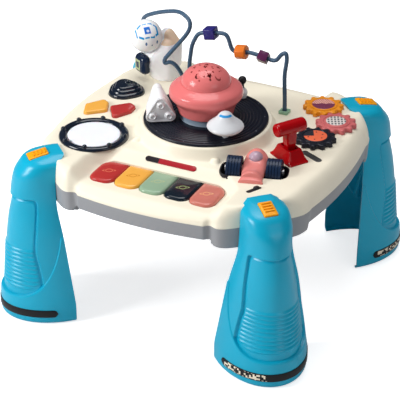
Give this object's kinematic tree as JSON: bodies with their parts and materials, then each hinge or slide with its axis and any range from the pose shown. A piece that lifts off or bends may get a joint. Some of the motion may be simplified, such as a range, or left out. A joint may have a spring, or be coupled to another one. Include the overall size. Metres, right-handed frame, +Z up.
{
  "type": "musical activity table",
  "caption": "Square baby activity table with a spinning disc and press lamp, keyboard, drum, gears, lever, rollers and bead rails on clip-on hollow legs.",
  "frame": {"origin": "on the floor under the middle of the table, where the turntable's axis meets it", "axes": "+X to the right along the keyboard side, +Y from the keyboard to the back, +Z up"},
  "size_m": [0.4568, 0.4568, 0.3572],
  "materials": {
    "amber": "moulded",
    "bead_orange": "moulded",
    "black": "moulded",
    "board": "moulded",
    "cell": "plain",
    "clear": "moulded",
    "coral": "moulded",
    "cream": "moulded",
    "grey": "moulded",
    "navy": "moulded",
    "orange": "moulded",
    "pale_green": "moulded",
    "plum": "moulded",
    "red": "moulded",
    "rubber": "plain",
    "sage": "moulded",
    "salmon": "moulded",
    "silver_plastic": "moulded",
    "slate": "moulded",
    "steel": "plain",
    "teal": "moulded",
    "violet": "moulded",
    "white": "moulded"
  },
  "bodies": {
    "table": {"top_cover": "cream", "bottom_cover": "grey", "leg_front_right": "teal", "leg_back_right": "teal", "leg_back_left": "teal", "leg_front_left": "teal", "foot_bands": "black", "turntable_collar": "slate", "astronaut_body": "white", "astronaut_badge": "navy", "left_rail": "slate", "right_rail": "slate", "rail_clips": "pale_green", "key_membrane": "rubber", "drum_ring": "navy", "name_strip": "red", "roller_tray": "black", "ship_body": "coral", "ship_canopy": "clear", "roller_axle": "steel", "lever_base": "red", "lever_pin": "steel", "speaker_grille": "black", "speaker": "black", "circuit_board": "board", "battery_cover": "grey", "batteries": "cell", "cover_screws": "steel"},
    "lamp": {"lamp_bowl": "coral", "lamp_dome": "coral", "lamp_light": "white"},
    "turntable": {"turntable_disc": "navy", "rocket_body": "white", "rocket_tail": "silver_plastic", "shuttle": "white"},
    "saucer": {"saucer": "white"},
    "astronaut_head": {"astronaut_head": "white"},
    "bead_violet": {"bead_violet": "violet"},
    "bead_orange": {"bead_orange": "bead_orange"},
    "bead_plum": {"bead_plum": "plum"},
    "key_red": {"key_red": "red"},
    "key_amber": {"key_amber": "amber"},
    "key_green": {"key_green": "sage"},
    "key_navy": {"key_navy": "navy"},
    "key_pink": {"key_pink": "salmon"},
    "drum_pad": {"drum_pad": "white"},
    "button_amber": {"button_amber": "amber"},
    "button_red": {"button_red": "red"},
    "crater_button": {"crater_button": "navy"},
    "roller_left": {"roller_left": "navy"},
    "roller_right": {"roller_right": "navy"},
    "lever": {"lever": "red"},
    "gear_orange": {"gear_orange": "amber"},
    "gear_pink": {"gear_pink": "coral"},
    "gear_navy": {"gear_navy": "navy"},
    "power_switch": {"power_switch": "black"},
    "latch_front_right": {"latch_front_right": "orange"},
    "latch_back_right": {"latch_back_right": "orange"},
    "latch_back_left": {"latch_back_left": "orange"},
    "latch_front_left": {"latch_front_left": "orange"}
  },
  "joints": [
    {"name": "turntable_spin", "type": "hinge", "parent": "table", "child": "turntable", "pos_m": [0, 0, 0.254], "axis": [0, 0, 1], "continuous": true},
    {"name": "saucer_spin", "type": "hinge", "parent": "turntable", "child": "saucer", "pos_m": [0.051, -0.046, 0.27], "axis": [0, 0, 1], "continuous": true},
    {"name": "lamp_press", "type": "slide", "parent": "table", "child": "lamp", "axis": [0, 0, -1], "range_m": [0, 0.0025], "stiffness_N_per_m": 900, "springref_m": -0.0025},
    {"name": "key_red_press", "type": "slide", "parent": "table", "child": "key_red", "axis": [0, 0, -1], "range_m": [0, 0.003], "stiffness_N_per_m": 300, "springref_m": -0.003},
    {"name": "key_amber_press", "type": "slide", "parent": "table", "child": "key_amber", "axis": [0, 0, -1], "range_m": [0, 0.003], "stiffness_N_per_m": 300, "springref_m": -0.003},
    {"name": "key_green_press", "type": "slide", "parent": "table", "child": "key_green", "axis": [0, 0, -1], "range_m": [0, 0.003], "stiffness_N_per_m": 300, "springref_m": -0.003},
    {"name": "key_navy_press", "type": "slide", "parent": "table", "child": "key_navy", "axis": [0, 0, -1], "range_m": [0, 0.003], "stiffness_N_per_m": 300, "springref_m": -0.003},
    {"name": "key_pink_press", "type": "slide", "parent": "table", "child": "key_pink", "axis": [0, 0, -1], "range_m": [0, 0.003], "stiffness_N_per_m": 300, "springref_m": -0.003},
    {"name": "drum_press", "type": "slide", "parent": "table", "child": "drum_pad", "axis": [0, 0, -1], "range_m": [0, 0.002], "stiffness_N_per_m": 500, "springref_m": -0.003},
    {"name": "button_amber_press", "type": "slide", "parent": "table", "child": "button_amber", "axis": [0, 0, -1], "range_m": [0, 0.002], "stiffness_N_per_m": 400, "springref_m": -0.003},
    {"name": "button_red_press", "type": "slide", "parent": "table", "child": "button_red", "axis": [0, 0, -1], "range_m": [0, 0.002], "stiffness_N_per_m": 400, "springref_m": -0.003},
    {"name": "crater_button_press", "type": "slide", "parent": "table", "child": "crater_button", "axis": [0, 0, -1], "range_m": [0, 0.002], "stiffness_N_per_m": 400, "springref_m": -0.003},
    {"name": "roller_left_roll", "type": "hinge", "parent": "table", "child": "roller_left", "pos_m": [0.111, -0.082, 0.238], "axis": [0.9613, 0.2756, 0], "continuous": true},
    {"name": "roller_right_roll", "type": "hinge", "parent": "table", "child": "roller_right", "pos_m": [0.111, -0.082, 0.238], "axis": [0.9613, 0.2756, 0], "continuous": true},
    {"name": "lever_tilt", "type": "hinge", "parent": "table", "child": "lever", "pos_m": [0.138, -0.029, 0.246], "axis": [0.5446, 0.8387, 0], "range_deg": [-18, 18]},
    {"name": "gear_pink_spin", "type": "hinge", "parent": "table", "child": "gear_pink", "pos_m": [0.1595, 0.084, 0.241], "axis": [0, 0, 1], "continuous": true},
    {"name": "gear_orange_spin", "type": "hinge", "parent": "table", "child": "gear_orange", "pos_m": [0.12372, 0.12444, 0.241], "axis": [0, 0, 1], "continuous": true},
    {"name": "gear_navy_spin", "type": "hinge", "parent": "table", "child": "gear_navy", "pos_m": [0.15105, 0.03067, 0.241], "axis": [0, 0, 1], "continuous": true},
    {"name": "bead_plum_slide", "type": "slide", "parent": "table", "child": "bead_plum", "axis": [0.9865, 0, -0.1636], "range_m": [-0.004, 0.004]},
    {"name": "bead_orange_slide", "type": "slide", "parent": "table", "child": "bead_orange", "axis": [0.9892, 0, 0.1467], "range_m": [-0.001, 0.004]},
    {"name": "bead_violet_slide", "type": "slide", "parent": "table", "child": "bead_violet", "axis": [0.982, 0, 0.1888], "range_m": [-0.004, 0.004]},
    {"name": "power_switch_slide", "type": "slide", "parent": "table", "child": "power_switch", "axis": [-0.454, -0.891, 0], "range_m": [0, 0.008]},
    {"name": "astronaut_head_turn", "type": "hinge", "parent": "table", "child": "astronaut_head", "pos_m": [-0.1497, 0.11, 0.301], "axis": [0, 0, 1], "range_deg": [-60, 60]},
    {"name": "latch_front_right_press", "type": "slide", "parent": "table", "child": "latch_front_right", "axis": [-0.1651, 0.1651, -0.9724], "range_m": [0, 0.002], "stiffness_N_per_m": 400, "springref_m": -0.003},
    {"name": "latch_back_right_press", "type": "slide", "parent": "table", "child": "latch_back_right", "axis": [-0.1651, -0.1651, -0.9724], "range_m": [0, 0.002], "stiffness_N_per_m": 400, "springref_m": -0.003},
    {"name": "latch_back_left_press", "type": "slide", "parent": "table", "child": "latch_back_left", "axis": [0.1651, -0.1651, -0.9724], "range_m": [0, 0.002], "stiffness_N_per_m": 400, "springref_m": -0.003},
    {"name": "latch_front_left_press", "type": "slide", "parent": "table", "child": "latch_front_left", "axis": [0.1651, 0.1651, -0.9724], "range_m": [0, 0.002], "stiffness_N_per_m": 400, "springref_m": -0.003}
  ],
  "couplings": [
    {"joint": "gear_orange_spin", "follows": "gear_pink_spin", "ratio": -1},
    {"joint": "gear_navy_spin", "follows": "gear_pink_spin", "ratio": -1}
  ]
}
